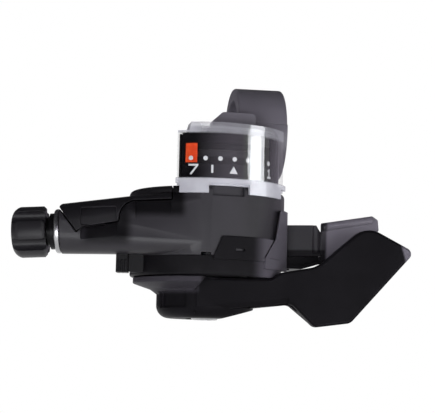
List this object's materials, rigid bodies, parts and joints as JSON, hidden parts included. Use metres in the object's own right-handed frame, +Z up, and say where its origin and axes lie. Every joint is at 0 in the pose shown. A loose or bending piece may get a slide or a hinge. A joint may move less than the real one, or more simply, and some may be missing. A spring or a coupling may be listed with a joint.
{
  "type": "trigger gear shifter",
  "caption": "Under-bar thumb trigger gear shifter with a hinged thumb paddle, a release lever, a gear indicator window and a barrel adjuster.",
  "frame": {"origin": "centre of the handlebar clamp's bore, in the middle of its width", "axes": "+X along the bar to the rider's right, +Y forwards, away from the rider, +Z up"},
  "size_m": [0.1252, 0.0589, 0.079],
  "materials": {
    "housing_plastic": "fine grain",
    "clamp_plastic": "fine grain",
    "lever_plastic": "fine grain",
    "release_plastic": "satin",
    "clear_window": "clear plastic",
    "black_plastic": "satin",
    "knob_plastic": "satin",
    "pointer_plastic": "orange",
    "spool_plastic": "natural",
    "steel": "zinc plated",
    "spring_steel": "bright strip",
    "washer_plastic": "natural"
  },
  "bodies": {
    "body": {"housing": "housing_plastic", "cable_cover": "housing_plastic", "base_plate": "housing_plastic", "clamp_saddle": "clamp_plastic", "clamp_band": "clamp_plastic", "indicator_window": "clear_window", "scale_plate": "black_plastic", "port_plug": "black_plastic", "barrel_insert": "black_plastic", "detent_ring": "steel", "clamp_bolt": "steel", "clamp_nut": "steel", "base_screws": "steel", "saddle_screws": "steel", "main_bolt": "steel", "main_nut": "steel", "axle_sleeve": "steel", "hub_washer": "steel", "hold_pin": "steel", "spool_spring": "spring_steel", "lever_spring": "spring_steel", "release_spring": "spring_steel", "hold_spring": "spring_steel", "thrust_washer": "washer_plastic"},
    "spool": {"cable_spool": "spool_plastic", "ratchet_wheel": "steel", "gear_pointer": "pointer_plastic"},
    "thumb": {"thumb_lever": "lever_plastic", "pull_pin": "steel", "pull_spring": "spring_steel"},
    "puller": {"pull_pawl": "steel"},
    "release": {"release_lever": "release_plastic"},
    "holder": {"hold_pawl": "steel"},
    "slider": {"detent_sleeve": "black_plastic"},
    "knob": {"adjuster_knob": "knob_plastic", "adjuster_stem": "steel"}
  },
  "joints": [
    {"name": "spool_turn", "type": "hinge", "parent": "body", "child": "spool", "pos_m": [-0.017, -0.009, -0.04], "axis": [0, 0, 1], "range_deg": [0, 65.45]},
    {"name": "thumb_turn", "type": "hinge", "parent": "body", "child": "thumb", "pos_m": [-0.017, -0.009, -0.04], "axis": [0, 0, 1], "range_deg": [0, 45], "stiffness_Nm_per_rad": 0.25, "springref_deg": -17.19},
    {"name": "pull_pawl_turn", "type": "hinge", "parent": "thumb", "child": "puller", "pos_m": [-0.02044, 0.0105, -0.039], "axis": [0, 0, 1], "range_deg": [-8, 0], "stiffness_Nm_per_rad": 0.01, "springref_deg": 11.46},
    {"name": "release_turn", "type": "hinge", "parent": "body", "child": "release", "pos_m": [-0.017, -0.009, -0.04], "axis": [0, 0, 1], "range_deg": [0, 14], "stiffness_Nm_per_rad": 0.25, "springref_deg": -11.46},
    {"name": "hold_pawl_turn", "type": "hinge", "parent": "body", "child": "holder", "pos_m": [-0.0077, -0.02648, -0.039], "axis": [0, 0, 1], "range_deg": [-9.8, 0]},
    {"name": "adjuster_slide", "type": "slide", "parent": "body", "child": "slider", "axis": [-0.9803, 0.1905, -0.0523], "range_m": [-0.001, 0.004]},
    {"name": "adjuster_turn", "type": "hinge", "parent": "slider", "child": "knob", "pos_m": [-0.06414, -0.02123, -0.0363], "axis": [-0.9803, 0.1905, -0.0523], "range_deg": [-360, 1440]}
  ],
  "couplings": [
    {"joint": "hold_pawl_turn", "follows": "release_turn", "ratio": -0.7},
    {"joint": "adjuster_turn", "follows": "adjuster_slide", "rad_per_m": 6283.2}
  ]
}
